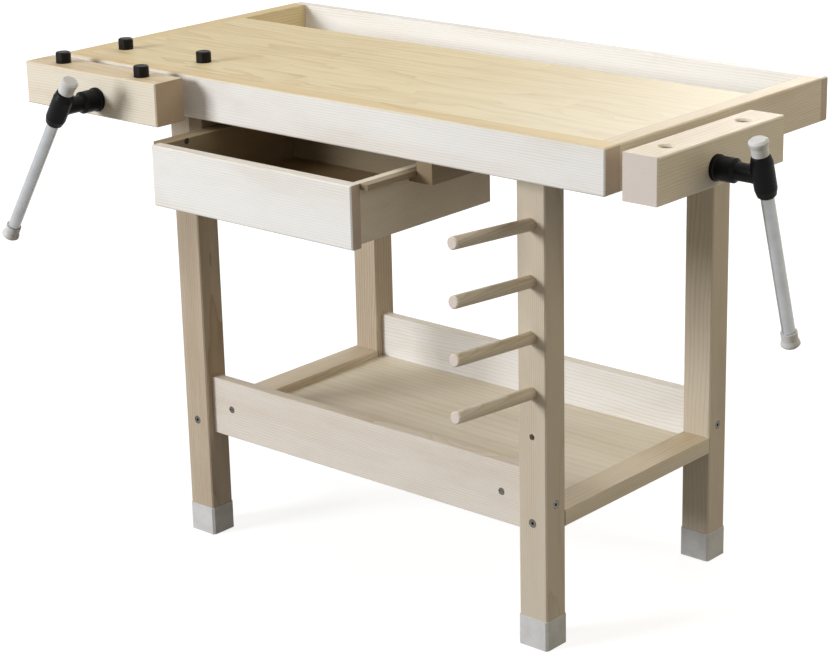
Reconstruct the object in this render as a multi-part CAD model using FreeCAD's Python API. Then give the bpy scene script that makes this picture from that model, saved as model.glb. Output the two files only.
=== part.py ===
import FreeCAD, Part
import math
import os
from FreeCAD import Vector

# Woodworking bench with a front vise, an end vise, a hanging drawer, a tool tray,
# a shelf and four tool pegs. Millimetres. +Z is up, the floor is z = 0, X runs along
# the bench to the right and Y from its front to its back. The origin is on the floor
# in the middle of the ground that the bench and its vises cover.

# ---- The top -------------------------------------------------------------------
top_left = -662.9            # X of the top's left end
top_front = -202.0           # Y of the front apron's face
top_length = 1140.0
top_depth = 580.0
top_height = 850.0
edge_height = 70.0           # apron, end caps and back rail
panel_thickness = 25.0
apron_thickness = 36.0
cap_thickness = 31.0
back_rail_thickness = 20.0
tray_width = 158.0
tray_depth = 45.0
tray_floor_thickness = 8.0
tray_rail_thickness = 20.0
groove_depth = 6.0
bearer_width = 30.0

# ---- The underframe ------------------------------------------------------------
leg_width = 54.0             # along X
leg_depth = 48.0             # along Y
leg_inset = 170.0            # top's end to the leg's outer face
leg_setback_front = 81.0
leg_setback_back = 11.0
foot_wall = 1.5
foot_sole = 4.0
foot_height = 50.0
upper_rail_height = 40.0
lower_rail_height = 27.0
lower_rail_lift = 7.0          # shelf board's lower edge to the rail's
board_height = 102.0
board_thickness = 20.0
board_bottom = 190.0
shelf_thickness = 10.0
shelf_top = 212.0
cleat_width = 14.0

# ---- Knock-down fittings, screws and pegs ---------------------------------------
bolt_radius = 4.0
bolt_head_radius = 7.0
bolt_head_height = 5.0
bolt_in_rail = 60.0          # how far a bolt reaches past its leg
nut_radius = 6.0
nut_length = 18.0
nut_setback = 46.0           # joint face to the barrel nut's axis
screw_radius = 2.5
screw_head_radius = 5.0
plate_screw_length = 30.0
strip_screw_cover = 4.0      # a strip's outer face to its screws' points
peg_radius = 10.0
peg_length = 180.0           # how far a peg stands out of its leg
peg_seat_depth = 34.0
peg_drop = 90.0              # leg's top to the first peg
peg_pitch = 88.5
peg_count = 4
peg_rise = 4.0               # degrees above level
spare_hole_radius = 5.0
spare_hole_depth = 20.0
spare_hole_drop = 71.5       # last peg to the spare hole

# ---- Drawer and runners ---------------------------------------------------------
drawer_dog_room = 35.0       # nearest bench dog to the drawer's runner
drawer_off_centre = 10.0     # how far the drawer hangs left of the top's middle
drawer_depth = 318.0
drawer_height = 98.0
drawer_front_thickness = 20.0
drawer_wall = 13.0
drawer_bottom_thickness = 5.0
drawer_side_lift = 6.0       # front's lower edge to the sides' and the back's
drawer_bottom_lift = 14.0
drawer_groove = 5.0
drawer_pulled = 124.0        # how far the drawer stands out of the apron's face
drawer_drop = 15.0           # apron's lower edge to the drawer's upper edge
strip_width = 15.5
strip_height = 9.0
ledge_height = 9.0
runner_thickness = 30.0
runner_setback = 3.0

# ---- Vises ----------------------------------------------------------------------
jaw_length = 315.0
jaw_thickness = 60.0
jaw_short_side = 140.0       # screw axis to the jaw's nearer end
screw_pitch = 5.0
front_turns_to_close = 4     # whole turns, so the bar looks the same when it is shut
end_turns_to_close = 6
vise_axis_drop = 42.0        # worktop to the screw's axis
screw_r = 10.0
collar_radius = 15.0
collar_thickness = 5.4
rod_radius = 8.0
rod_offset = 58.5
front_turns_to_open = 22
end_turns_to_open = 18
plate_thickness = 8.0
plate_half_height = 15.0
plate_margin = 18.0          # rod axis to the plate's end
nut_boss_radius = 15.0
nut_boss_length = 22.0
rod_boss_radius = 12.5
rod_boss_length = 18.0
hub_reach = 79.0             # jaw's face to the bar's axis
hub_foot_radius = 19.5
hub_foot_thickness = 5.0
hub_boss_radius = 18.0
hub_boss_length = 32.0       # with the foot
hub_neck_radius = 13.5
hub_shoulder_radius = 14.5
hub_bore_depth = 45.0
hub_fillet = 3.0
head_half_length = 33.0
head_radius = 16.5
head_end_radius = 14.0
head_rim = 2.5
bar_radius = 10.0
bar_length = 340.0
bar_cap_radius = 14.5
bar_cap_neck = 12.5
bar_cap_length = 24.0
bar_cap_seat = 18.0
front_bar_lean = 32.5        # degrees off plumb
end_bar_lean = 17.0
dog_hole_radius = 10.0
dog_offset = 95.0            # jaw's middle to a dog hole's axis
dog_rim = 3.0                # chamfer round a dog hole's mouth
top_dog_setback = 88.0
dog_head_radius = 12.5
dog_head_height = 18.0
dog_flat = 10.5              # dog's axis to its clamping flats
dog_shank = 60.0
dog_ease = 1.5

# ---- Clearances and edge treatment ----------------------------------------------
running = 0.08               # shaft in its bore
seated = 0.3                 # between pieces that move on each other
joint_gap = 0.2              # glued or bolted wood in its groove or hole
slide_gap = 1.5              # beside the drawer and its strips
bore_gap = 2.0               # round a vise's screw or rod in the wooden wall
ease = 2.0                   # chamfer on exposed timber edges

# ---- Stations worked out from the sizes above ------------------------------------
top_right = top_left + top_length
top_back = top_front + top_depth
top_middle = top_left + top_length / 2
edge_z = top_height - edge_height
panel_z = top_height - panel_thickness
apron_back = top_front + apron_thickness
back_rail_front = top_back - back_rail_thickness
tray_front = back_rail_front - tray_width
tray_rail_front = tray_front - tray_rail_thickness
tray_floor_z = top_height - tray_depth
inner_left = top_left + cap_thickness
inner_right = top_right - cap_thickness
front_leg_y = (top_front + leg_setback_front, top_front + leg_setback_front + leg_depth)
back_leg_y = (top_back - leg_setback_back - leg_depth, top_back - leg_setback_back)
left_leg_x = (top_left + leg_inset, top_left + leg_inset + leg_width)
right_leg_x = (top_right - leg_inset - leg_width, top_right - leg_inset)
board_top = board_bottom + board_height
board_mid = board_bottom + board_height / 2
lower_rail_z = (board_bottom + lower_rail_lift,
                board_bottom + lower_rail_lift + lower_rail_height)
vise_axis_height = top_height - vise_axis_drop
front_gap = front_turns_to_close * screw_pitch + seated
end_gap = end_turns_to_close * screw_pitch + seated
front_travel = front_turns_to_open * screw_pitch
end_travel = end_turns_to_open * screw_pitch


# ---- Small tools -----------------------------------------------------------------
def block(x, y, z):
    """A box between the low and high values of x, y and z."""
    size = (x[1] - x[0], y[1] - y[0], z[1] - z[0])
    return Part.makeBox(*size, Vector(x[0], y[0], z[0]))


def rod(start, direction, radius, length):
    return Part.makeCylinder(radius, length, start, direction)


def middle(span):
    return (span[0] + span[1]) / 2


def eased_in_plane(shape, axis, value, size=ease):
    """Chamfers the edges of a shape that lie wholly in the plane axis = value."""
    chosen = [e for e in shape.Edges
              if all(abs(getattr(v.Point, axis) - value) < 1e-6 for v in e.Vertexes)]
    return shape.makeChamfer(size, chosen)


def eased_along(shape, direction, size=ease):
    """Chamfers the straight edges of a shape that run along a direction."""
    chosen = [e for e in shape.Edges
              if abs(e.tangentAt(e.FirstParameter).dot(direction)) > 0.999]
    return shape.makeChamfer(size, chosen)


def turned(profile, origin, axis):
    """Revolves a profile of (along, radius) points about an axis through origin."""
    side = Vector(0, 0, 1) if abs(axis.z) < 0.5 else Vector(1, 0, 0)
    side = (side - axis * side.dot(axis)).normalize()
    points = [origin + axis * along + side * radius for along, radius in profile]
    return Part.Face(Part.makePolygon(points + points[:1])).revolve(origin, axis, 360)


def fastener(seat, direction, shank, length, head, head_height, recess):
    """A screw or bolt whose head sits in a recess, and the hole that takes it."""
    under = seat + direction * recess
    solid = rod(under - direction * head_height, direction, head, head_height)
    solid = solid.fuse(rod(under, direction, shank, length)).removeSplitter()
    mouth = rod(seat - direction, direction, head + joint_gap, recess + 1 + joint_gap)
    hole = rod(seat, direction, shank + joint_gap, recess + length + joint_gap)
    return solid, mouth.fuse(hole)


def wood_screw(seat, direction, length, recess=0.0):
    """A countersunk wood screw, its head flush or let in, and the hole that takes it."""
    taper = screw_head_radius - screw_radius
    solid = turned([(recess, 0), (recess, screw_head_radius), (recess + taper, screw_radius),
                    (recess + length, screw_radius), (recess + length, 0)], seat, direction)
    wide, narrow = screw_head_radius + joint_gap, screw_radius + joint_gap
    end = recess + length + joint_gap
    hole = turned([(-1, 0), (-1, wide), (recess, wide), (recess + wide - narrow, narrow),
                   (end, narrow), (end, 0)], seat, direction)
    return solid, hole


def drilled(shape, fasteners):
    """Cuts the hole of every fastener that reaches into a shape."""
    holes = [hole for _, hole in fasteners if hole.BoundBox.intersect(shape.BoundBox)]
    return shape.cut(holes) if holes else shape


def solids_of(fasteners):
    return [solid for solid, _ in fasteners]


def export(name, shapes):
    """Writes one node: one solid, or a group of separate ones."""
    shapes = shapes if isinstance(shapes, list) else [shapes]
    solids = [solid for shape in shapes for solid in shape.Solids]
    whole = solids[0] if len(solids) == 1 else Part.makeCompound(solids)
    whole.exportStep(f"parts/{name}.step")
    print(f"{name:24s} solids {len(solids):2d}  volume {whole.Volume / 1000:9.1f} cm3")


os.makedirs("parts", exist_ok=True)
ACROSS, BACK, UP = Vector(1, 0, 0), Vector(0, 1, 0), Vector(0, 0, 1)


# ---- Knock-down bolts, barrel nuts and screws --------------------------------------
def leg_bolts():
    """Each leg is bolted to a shelf board along X and to two end rails along Y."""
    bolts, nuts = [], []
    for leg_x, inward_x in ((left_leg_x, 1), (right_leg_x, -1)):
        for leg_y, inward_y in ((front_leg_y, 1), (back_leg_y, -1)):
            outer = leg_x[0] if inward_x > 0 else leg_x[1]
            along = ACROSS * inward_x
            seat = Vector(outer, middle(leg_y), board_mid)
            reach = leg_width + bolt_in_rail - bolt_head_height
            bolt = fastener(seat, along, bolt_radius, reach,
                            bolt_head_radius, bolt_head_height, bolt_head_height)
            face = middle(leg_y) - inward_y * board_thickness / 2
            mouth = seat + along * (leg_width + nut_setback)
            mouth.y = face
            bolts.append(bolt)
            nuts.append(barrel_nut(mouth, BACK * inward_y, bolt))
            outer = leg_y[0] if inward_y > 0 else leg_y[1]
            along = BACK * inward_y
            for low, high in (lower_rail_z, (edge_z - upper_rail_height, edge_z)):
                seat = Vector(middle(leg_x), outer, middle((low, high)))
                reach = leg_depth + bolt_in_rail - bolt_head_height
                bolt = fastener(seat, along, bolt_radius, reach,
                                bolt_head_radius, bolt_head_height, bolt_head_height)
                mouth = seat + along * (leg_depth + nut_setback)
                mouth.z = low
                bolts.append(bolt)
                nuts.append(barrel_nut(mouth, UP, bolt))
    return bolts, nuts


def barrel_nut(mouth, direction, bolt):
    """A cross-drilled round nut let in flush at mouth, and the hole that takes it."""
    hole = rod(mouth - direction, direction, nut_radius + joint_gap,
               nut_length + 1 + joint_gap)
    return rod(mouth, direction, nut_radius, nut_length).cut(bolt[1]), hole


bolts, nuts = leg_bolts()
frame_fittings = bolts + nuts
export("frame_bolts", solids_of(bolts))
export("barrel_nuts", solids_of(nuts))


# ---- Vises ---------------------------------------------------------------------------
# A vise is drawn about its screw: the screw's axis is y, the bench's face is y = 0 and
# the jaw stands on the -y side. side = 1 puts the jaw's shorter side towards +x.
def placed(shape, station, turn):
    """Turns a vise piece about its screw's foot and sets it on the bench."""
    copy = shape.copy()
    copy.rotate(Vector(), UP, turn)
    copy.translate(station)
    return copy


def bar_line(lean, side):
    """The bar's direction, upwards: its lower end leans to the jaw's longer side."""
    angle = math.radians(lean)
    return Vector(side * math.sin(angle), 0, math.cos(angle))


def vise_plate(start, thickness, margin=0.0):
    """A plate across the screw and both rods, with rounded corners, from y = start."""
    half_length, half_height = rod_offset + plate_margin + margin, plate_half_height + margin
    shape = block((-half_length, half_length), (start, start + thickness),
                  (-half_height, half_height))
    corners = [e for e in shape.Edges if abs(e.tangentAt(e.FirstParameter).y) > 0.999]
    return shape.makeFillet(half_height * 0.6, corners)


def dog_hole(mouth, depth):
    """A round hole for a bench dog, straight down from mouth, with a chamfered rim."""
    wide = dog_hole_radius + dog_rim
    return turned([(-1, 0), (-1, wide), (0, wide), (dog_rim, dog_hole_radius),
                   (depth + 1, dog_hole_radius), (depth + 1, 0)], mouth, -UP)


def vise_screws(gap):
    """Wood screws through the jaw's plate, seen from the bench's face."""
    return [wood_screw(Vector(x, -gap - seated, 0), -BACK, plate_screw_length)
            for x in (-rod_offset / 2, rod_offset / 2)]


def nut_screws(wall):
    """Wood screws through the nut plate into the bench's wall."""
    return [wood_screw(Vector(x, wall + plate_thickness, 0), -BACK, plate_screw_length)
            for x in (-rod_offset + rod_boss_radius + screw_head_radius * 2,
                      rod_offset - rod_boss_radius - screw_head_radius * 2)]


def vise_jaw(gap, side):
    """The wooden jaw, bored for the screw and two dogs and let in for its plate."""
    ends = sorted((-side * (jaw_length - jaw_short_side), side * jaw_short_side))
    outer = -gap - jaw_thickness
    height = (edge_z - vise_axis_height, top_height - vise_axis_height)
    jaw = eased_in_plane(block(ends, (outer, -gap), height), "y", outer)
    depth = plate_thickness + seated
    pocket = vise_plate(-gap - depth, depth + 1, joint_gap)
    bores = [pocket,
             rod(Vector(0, outer, 0), BACK, screw_r + seated, jaw_thickness),
             rod(Vector(0, -gap - depth - collar_thickness - seated * 2, 0), BACK,
                 collar_radius + seated, collar_thickness + seated * 3)]
    for x in (middle(ends) - dog_offset, middle(ends) + dog_offset):
        bores.append(dog_hole(Vector(x, outer + jaw_thickness / 2, height[1]), edge_height))
    return drilled(jaw.cut(bores), vise_screws(gap))


def jaw_plate(gap):
    """The steel plate in the jaw's inner face: it carries the rods and traps the screw."""
    plate = vise_plate(-gap - plate_thickness - seated, plate_thickness)
    start = Vector(0, -gap - plate_thickness - 1, 0)
    bores = [rod(start, BACK, screw_r + seated, plate_thickness + 2)]
    for x in (-rod_offset, rod_offset):
        bores.append(rod(start + ACROSS * x, BACK, rod_radius + running,
                         plate_thickness + 2))
    return drilled(plate.cut(bores), vise_screws(gap))


def tail(wall, travel):
    """How far a vise's screw reaches past the bench's face, to stay in its nut when open."""
    return wall + plate_thickness + nut_boss_length + travel + seated


def guide_rods(gap, wall, travel):
    start = -gap - plate_thickness - seated
    length = tail(wall, travel) - start
    rods = []
    for x in (-rod_offset, rod_offset):
        shape = rod(Vector(x, start, 0), BACK, rod_radius, length)
        rods.append(eased_in_plane(shape, "y", start + length, 1.0))
    return rods


def nut_plate(wall):
    """The cast nut: a plate with a threaded boss, two rod bushes and ribs between them."""
    plate = vise_plate(wall, plate_thickness)
    back = wall + plate_thickness
    solid = plate.fuse(rod(Vector(0, wall, 0), BACK, nut_boss_radius,
                           plate_thickness + nut_boss_length))
    for x in (-rod_offset, rod_offset):
        solid = solid.fuse(rod(Vector(x, wall, 0), BACK, rod_boss_radius,
                               plate_thickness + rod_boss_length))
    rib_points = [Vector(-rod_offset, back, 0), Vector(-rod_offset, back + rod_boss_length, 0),
                  Vector(0, back + nut_boss_length, 0),
                  Vector(rod_offset, back + rod_boss_length, 0), Vector(rod_offset, back, 0)]
    rib = Part.Face(Part.makePolygon(rib_points + rib_points[:1]))
    rib_thickness = plate_thickness / 2
    rib = rib.extrude(UP * rib_thickness)
    rib.translate(-UP * rib_thickness / 2)
    solid = solid.fuse(rib).removeSplitter()
    bores = [rod(Vector(0, wall - 1, 0), BACK, screw_r + running, tail(wall, 0))]
    for x in (-rod_offset, rod_offset):
        bores.append(rod(Vector(x, wall - 1, 0), BACK, rod_radius + running, tail(wall, 0)))
    return drilled(solid.cut(bores), nut_screws(wall))


def wall_bores(wall):
    """The holes that the screw and the rods need through the bench's wall."""
    bores = [rod(Vector(0, -1, 0), BACK, screw_r + bore_gap, wall + 2)]
    for x in (-rod_offset, rod_offset):
        bores.append(rod(Vector(x, -1, 0), BACK, rod_radius + bore_gap, wall + 2))
    return bores


def vise_screw(gap, wall, travel):
    """The screw: a bar with a collar behind the jaw, ending in the hub."""
    jaw_face = gap + jaw_thickness
    start = -(jaw_face + seated + hub_bore_depth - running)
    end = tail(wall, travel)
    collar = -gap - plate_thickness - seated * 2 - collar_thickness
    profile = [(start, 0), (start, screw_r - 1), (start + 1, screw_r), (collar, screw_r),
               (collar, collar_radius), (collar + collar_thickness, collar_radius),
               (collar + collar_thickness, screw_r), (end - 1, screw_r),
               (end, screw_r - 1), (end, 0)]
    return turned(profile, Vector(), BACK)


def vise_hub(gap, lean, side):
    """The cast T-shaped hub: a flared barrel on the screw and a cross head for the bar."""
    foot = gap + jaw_thickness + seated
    centre = gap + jaw_thickness + hub_reach
    flange, boss = foot + hub_foot_thickness, foot + hub_boss_length
    barrel = turned([(foot, 0), (foot, hub_foot_radius), (flange, hub_foot_radius),
                     (flange + hub_foot_radius - hub_boss_radius, hub_boss_radius),
                     (boss, hub_boss_radius),
                     (boss + hub_boss_radius - hub_neck_radius, hub_neck_radius),
                     (centre - head_radius - hub_fillet, hub_neck_radius),
                     (centre, hub_shoulder_radius), (centre, 0)], Vector(), -BACK)
    half, waist = head_half_length, hub_shoulder_radius + 2 * hub_fillet
    line = bar_line(lean, side)
    head = turned([(-half, 0), (-half, head_end_radius - head_rim),
                   (-half + head_rim, head_end_radius), (-waist, head_radius),
                   (waist, head_radius), (half - head_rim, head_end_radius),
                   (half, head_end_radius - head_rim), (half, 0)], Vector(0, -centre, 0), line)
    solid = barrel.fuse(head).removeSplitter()
    saddle = [e for e in solid.Edges if isinstance(e.Curve, Part.BSplineCurve)]
    solid = solid.makeFillet(hub_fillet, saddle)
    waists = [e for e in solid.Edges if isinstance(e.Curve, Part.Circle)
              and abs(e.Curve.Radius - head_radius) < 1e-6]
    solid = solid.makeFillet(hub_fillet, waists)
    bar_bore = rod(Vector(0, -centre, 0) - line * (half + 1), line,
                   bar_radius + running, 2 * half + 2)
    screw_bore = rod(Vector(0, -foot - hub_bore_depth, 0), BACK,
                     screw_r + running / 2, hub_bore_depth + 1)
    return solid.cut([bar_bore, screw_bore])


def bar_pieces(gap, lean, side):
    """The sliding bar with a flared cap on each end: the upper cap rests on the hub."""
    line = bar_line(lean, side)
    centre = Vector(0, -(gap + jaw_thickness + hub_reach), 0)
    top = head_half_length + seated + bar_cap_length
    bottom = top - bar_length
    inset = bar_cap_length - bar_cap_seat
    bar = rod(centre + line * (bottom + inset), line, bar_radius, bar_length - 2 * inset)
    caps = []
    for end, inward in ((top, -1), (bottom, 1)):
        rim = 3.0
        cap = turned([(0, 0), (0, bar_cap_radius - rim), (rim, bar_cap_radius),
                      (2 * rim, bar_cap_radius), (bar_cap_length / 2, bar_cap_neck),
                      (bar_cap_length, bar_cap_neck), (bar_cap_length, 0)],
                     centre + line * end, line * inward)
        bore = rod(centre + line * (end + inward * inset), line * inward,
                   bar_radius + running / 2, bar_cap_seat + 1)
        caps.append(cap.cut(bore))
    return bar, caps


def build_vise(name, gap, wall, travel, lean, side, station, turn):
    bar, caps = bar_pieces(gap, lean, side)
    pieces = {
        "jaw": vise_jaw(gap, side),
        "jaw_plate": jaw_plate(gap),
        "jaw_plate_screws": solids_of(vise_screws(gap)),
        "guide_rods": guide_rods(gap, wall, travel),
        "vise_screw": vise_screw(gap, wall, travel),
        "vise_hub": vise_hub(gap, lean, side),
        "vise_bar": bar,
        "bar_caps": caps,
        "nut_plate": nut_plate(wall),
    }
    for piece, shape in pieces.items():
        shapes = shape if isinstance(shape, list) else [shape]
        export(f"{name}_{piece}", [placed(s, station, turn) for s in shapes])
    screws = [(placed(solid, station, turn), placed(hole, station, turn))
              for solid, hole in nut_screws(wall)]
    return screws, [placed(bore, station, turn) for bore in wall_bores(wall)]


front_vise_x = top_left + jaw_length - jaw_short_side
end_vise_y = top_front + jaw_short_side
front_nut_screws, apron_bores = build_vise(
    "front", front_gap, apron_thickness, front_travel, front_bar_lean, 1,
    Vector(front_vise_x, top_front, vise_axis_height), 0)
end_nut_screws, cap_bores = build_vise(
    "end", end_gap, cap_thickness, end_travel, end_bar_lean, -1,
    Vector(top_right, end_vise_y, vise_axis_height), 90)
export("nut_plate_screws", solids_of(front_nut_screws + end_nut_screws))


# ---- Bench dogs ------------------------------------------------------------------------
def bench_dog(x, y):
    """A dog with two clamping flats; its conical shoulder rests in its hole's rim."""
    shank = dog_hole_radius - running
    shoulder = seated - dog_rim + dog_head_radius - dog_hole_radius
    low = shoulder - (dog_head_radius - shank)
    dog = turned([(-dog_shank, 0), (-dog_shank, shank - dog_ease), (dog_ease - dog_shank, shank),
                  (low, shank), (shoulder, dog_head_radius),
                  (dog_head_height - dog_ease, dog_head_radius),
                  (dog_head_height, dog_head_radius - dog_ease), (dog_head_height, 0)],
                 Vector(x, y, top_height), UP)
    for side in (-1, 1):
        flat = block(sorted((x - 2 * dog_head_radius, x + 2 * dog_head_radius)),
                     sorted((y + side * dog_flat, y + side * 2 * dog_flat)),
                     (top_height + dog_ease, top_height + dog_head_height + 1))
        dog = dog.cut(flat)
    return dog


jaw_dog_y = top_front - front_gap - jaw_thickness / 2
top_dog_y = top_front + top_dog_setback
front_jaw_middle = top_left + jaw_length / 2
dog_columns = {"left": front_jaw_middle - dog_offset, "right": front_jaw_middle + dog_offset}
for column, x in dog_columns.items():
    export(f"jaw_dog_{column}", bench_dog(x, jaw_dog_y))
    export(f"top_dog_{column}", bench_dog(x, top_dog_y))


# ---- Drawer runners and drawer -----------------------------------------------------------
runner_near = strip_width + slide_gap
runner_far = runner_near + runner_thickness
drawer_left = dog_columns["right"] + dog_head_radius + drawer_dog_room + runner_far
drawer_x = (drawer_left, 2 * (top_middle - drawer_off_centre) - drawer_left)
drawer_top = edge_z - drawer_drop
drawer_z = (drawer_top - drawer_height, drawer_top)
drawer_front_y = top_front - drawer_pulled
drawer_y = (drawer_front_y, drawer_front_y + drawer_depth)
strip_z = (drawer_top - strip_height, drawer_top)
ledge_top = strip_z[0] - seated
ledge_z = (ledge_top - ledge_height, ledge_top)
runner_y = (top_front + runner_setback, tray_rail_front - runner_setback)


def mirrored_span(near, far, side):
    """A span of X from near to far outside the drawer's side, left (-1) or right (1)."""
    face = drawer_x[1] if side > 0 else drawer_x[0]
    return sorted((face + side * near, face + side * far))


runner_x = {side: mirrored_span(runner_near, runner_far, side) for side in (-1, 1)}
runner_screw_recess = 4.0
runner_screws = []
for side in (-1, 1):
    for share in (0.25, 0.75):
        y = runner_y[0] + share * (runner_y[1] - runner_y[0])
        reach = panel_z - ledge_z[0] - runner_screw_recess + panel_thickness / 3
        runner_screws.append(wood_screw(Vector(middle(runner_x[side]), y, ledge_z[0]), UP,
                                        reach, runner_screw_recess))


def runner(side):
    """The hanger under the top: notched at the front to pass below the apron."""
    x = runner_x[side]
    hanger = block(x, runner_y, (ledge_top, panel_z))
    notch = block(x, (runner_y[0], apron_back), (edge_z, panel_z))
    return drilled(hanger.cut(notch), runner_screws)


export("left_runner", runner(-1))
export("right_runner", runner(1))
ledges = [drilled(block(mirrored_span(slide_gap, runner_far, side), runner_y, ledge_z),
                  runner_screws) for side in (-1, 1)]
export("runner_ledges", ledges)

strip_y = (drawer_y[0] + drawer_front_thickness, drawer_y[1])
strip_screws = []
for side in (-1, 1):
    face = mirrored_span(-drawer_wall, -drawer_wall, side)[0]
    for share in (0.15, 0.85):
        seat = Vector(face, strip_y[0] + share * (strip_y[1] - strip_y[0]), middle(strip_z))
        strip_screws.append(wood_screw(seat, ACROSS * side,
                                       drawer_wall + strip_width - strip_screw_cover))
strips = [drilled(block(mirrored_span(0, strip_width, side), strip_y, strip_z),
                  strip_screws) for side in (-1, 1)]
export("drawer_strips", strips)
export("drawer_screws", solids_of(strip_screws))

bottom_z = (drawer_z[0] + drawer_bottom_lift,
            drawer_z[0] + drawer_bottom_lift + drawer_bottom_thickness)
drawer_inner_x = (drawer_x[0] + drawer_wall, drawer_x[1] - drawer_wall)
drawer_inner_y = (drawer_y[0] + drawer_front_thickness, drawer_y[1] - drawer_wall)
bottom = block((drawer_inner_x[0] - drawer_groove, drawer_inner_x[1] + drawer_groove),
               (drawer_inner_y[0] - drawer_groove, drawer_inner_y[1] + drawer_groove), bottom_z)
wall_z = (drawer_z[0] + drawer_side_lift, drawer_z[1])
bottom_groove = block((drawer_inner_x[0] - drawer_groove - joint_gap,
                       drawer_inner_x[1] + drawer_groove + joint_gap),
                      (drawer_inner_y[0] - drawer_groove - joint_gap,
                       drawer_inner_y[1] + drawer_groove + joint_gap),
                      (bottom_z[0], bottom_z[1] + joint_gap))
front_panel = eased_in_plane(block(drawer_x, (drawer_y[0], strip_y[0]), drawer_z),
                             "y", drawer_y[0])
export("drawer_front", front_panel.cut(bottom_groove))
for name, x in (("left", (drawer_x[0], drawer_inner_x[0])),
                ("right", (drawer_inner_x[1], drawer_x[1]))):
    side_panel = block(x, strip_y, wall_z)
    export(f"drawer_{name}_side", drilled(side_panel.cut(bottom_groove), strip_screws))
back_panel = block(drawer_inner_x, (drawer_inner_y[1], drawer_y[1]), wall_z)
export("drawer_back", back_panel.cut(bottom_groove))
export("drawer_bottom", bottom)


# ---- The bench top ---------------------------------------------------------------------------
bearer_x = {"left": (left_leg_x[1] - bearer_width, left_leg_x[1]),
            "right": (right_leg_x[0], right_leg_x[0] + bearer_width)}
bearer_y = (front_leg_y[0], tray_rail_front)
tray_bearer_top = tray_floor_z - tray_floor_thickness
rail_screw_recess = 12.0
top_screws = []
for x in bearer_x.values():
    for share in (0.4, 0.8):
        y = bearer_y[0] + share * (bearer_y[1] - bearer_y[0])
        reach = upper_rail_height - rail_screw_recess + (panel_z - edge_z) * 0.7
        seat = Vector(middle(x), y, edge_z - upper_rail_height)
        top_screws.append(wood_screw(seat, UP, reach, rail_screw_recess))
    seat = Vector(middle(x), tray_front + tray_width / 4, edge_z - upper_rail_height)
    reach = upper_rail_height - rail_screw_recess + (tray_bearer_top - edge_z) * 0.7
    top_screws.append(wood_screw(seat, UP, reach, rail_screw_recess))
export("underside_screws", solids_of(top_screws + runner_screws))

tray_span_x = (inner_left - groove_depth, inner_right + groove_depth)
tray_span_y = (tray_front - groove_depth, back_rail_front + groove_depth)
tray_z = (tray_bearer_top, tray_floor_z)
top_outline = block((top_left, top_right), (top_front, top_back), (edge_z, top_height))
top_outline = top_outline.makeChamfer(ease, top_outline.Edges)
tray_floor = block(tray_span_x, tray_span_y, tray_z)
tray_groove = block((tray_span_x[0] - joint_gap, tray_span_x[1] + joint_gap),
                    (tray_span_y[0] - joint_gap, tray_span_y[1] + joint_gap),
                    (tray_z[0], tray_z[1] + joint_gap))
export("tray_floor", tray_floor)
export("tray_front_rail", block((inner_left, inner_right), (tray_rail_front, tray_front),
                                (edge_z, panel_z)).cut(tray_groove))
back_rail = block((top_left, top_right), (back_rail_front, top_back), (edge_z, top_height))
export("back_rail", back_rail.common(top_outline).cut(tray_groove))

panel = block((inner_left, inner_right), (apron_back, tray_front), (panel_z, top_height))
dog_holes = [dog_hole(Vector(x, top_dog_y, top_height), panel_thickness)
             for x in dog_columns.values()]
export("worktop_panel", drilled(panel.cut(dog_holes), runner_screws))

apron = block((top_left, top_right), (top_front, apron_back), (edge_z, top_height))
apron = apron.common(top_outline).cut(apron_bores)
export("front_apron", drilled(apron, front_nut_screws))

cap_y = (apron_back, back_rail_front)
left_cap = block((top_left, inner_left), cap_y, (edge_z, top_height)).common(top_outline)
right_cap = block((inner_right, top_right), cap_y, (edge_z, top_height)).common(top_outline)
export("left_end_cap", left_cap.cut(tray_groove))
export("right_end_cap", drilled(right_cap.cut([tray_groove] + cap_bores), end_nut_screws))

for name, x in bearer_x.items():
    export(f"{name}_bearer", drilled(block(x, bearer_y, (edge_z, panel_z)), top_screws))
tray_bearers = [drilled(block(x, (tray_front, back_rail_front), (edge_z, tray_bearer_top)),
                        top_screws) for x in bearer_x.values()]
export("tray_bearers", tray_bearers)


# ---- Legs, feet, rails, boards and shelf --------------------------------------------------------
peg_line = Vector(0, -math.cos(math.radians(peg_rise)), math.sin(math.radians(peg_rise)))
peg_heights = [edge_z - peg_drop - peg_pitch * step for step in range(peg_count)]


def peg_mouth(height):
    return Vector(middle(right_leg_x), front_leg_y[0], height)


def leg(x, y):
    post = eased_along(block(x, y, (foot_sole, edge_z)), UP)
    return drilled(post, frame_fittings)


def peg_leg():
    """The front right leg, bored for the pegs and with a spare hole below them."""
    bores = [rod(peg_mouth(height) - peg_line * peg_seat_depth, peg_line,
                 peg_radius + running, peg_seat_depth + 2 * peg_radius) for height in peg_heights]
    bores.append(rod(peg_mouth(peg_heights[-1] - spare_hole_drop) - BACK, BACK, spare_hole_radius,
                     spare_hole_depth + 1))
    return leg(right_leg_x, front_leg_y).cut(bores)


export("front_left_leg", leg(left_leg_x, front_leg_y))
export("front_right_leg", peg_leg())
export("back_left_leg", leg(left_leg_x, back_leg_y))
export("back_right_leg", leg(right_leg_x, back_leg_y))

pegs = []
for height in peg_heights:
    reach = peg_seat_depth - running + peg_length
    start = peg_mouth(height) - peg_line * (peg_seat_depth - running)
    pegs.append(turned([(0, 0), (0, peg_radius), (reach - 2, peg_radius),
                        (reach, peg_radius - 2), (reach, 0)], start, peg_line))
export("tool_pegs", pegs)


def grown(span, amount):
    return (span[0] - amount, span[1] + amount)


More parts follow.
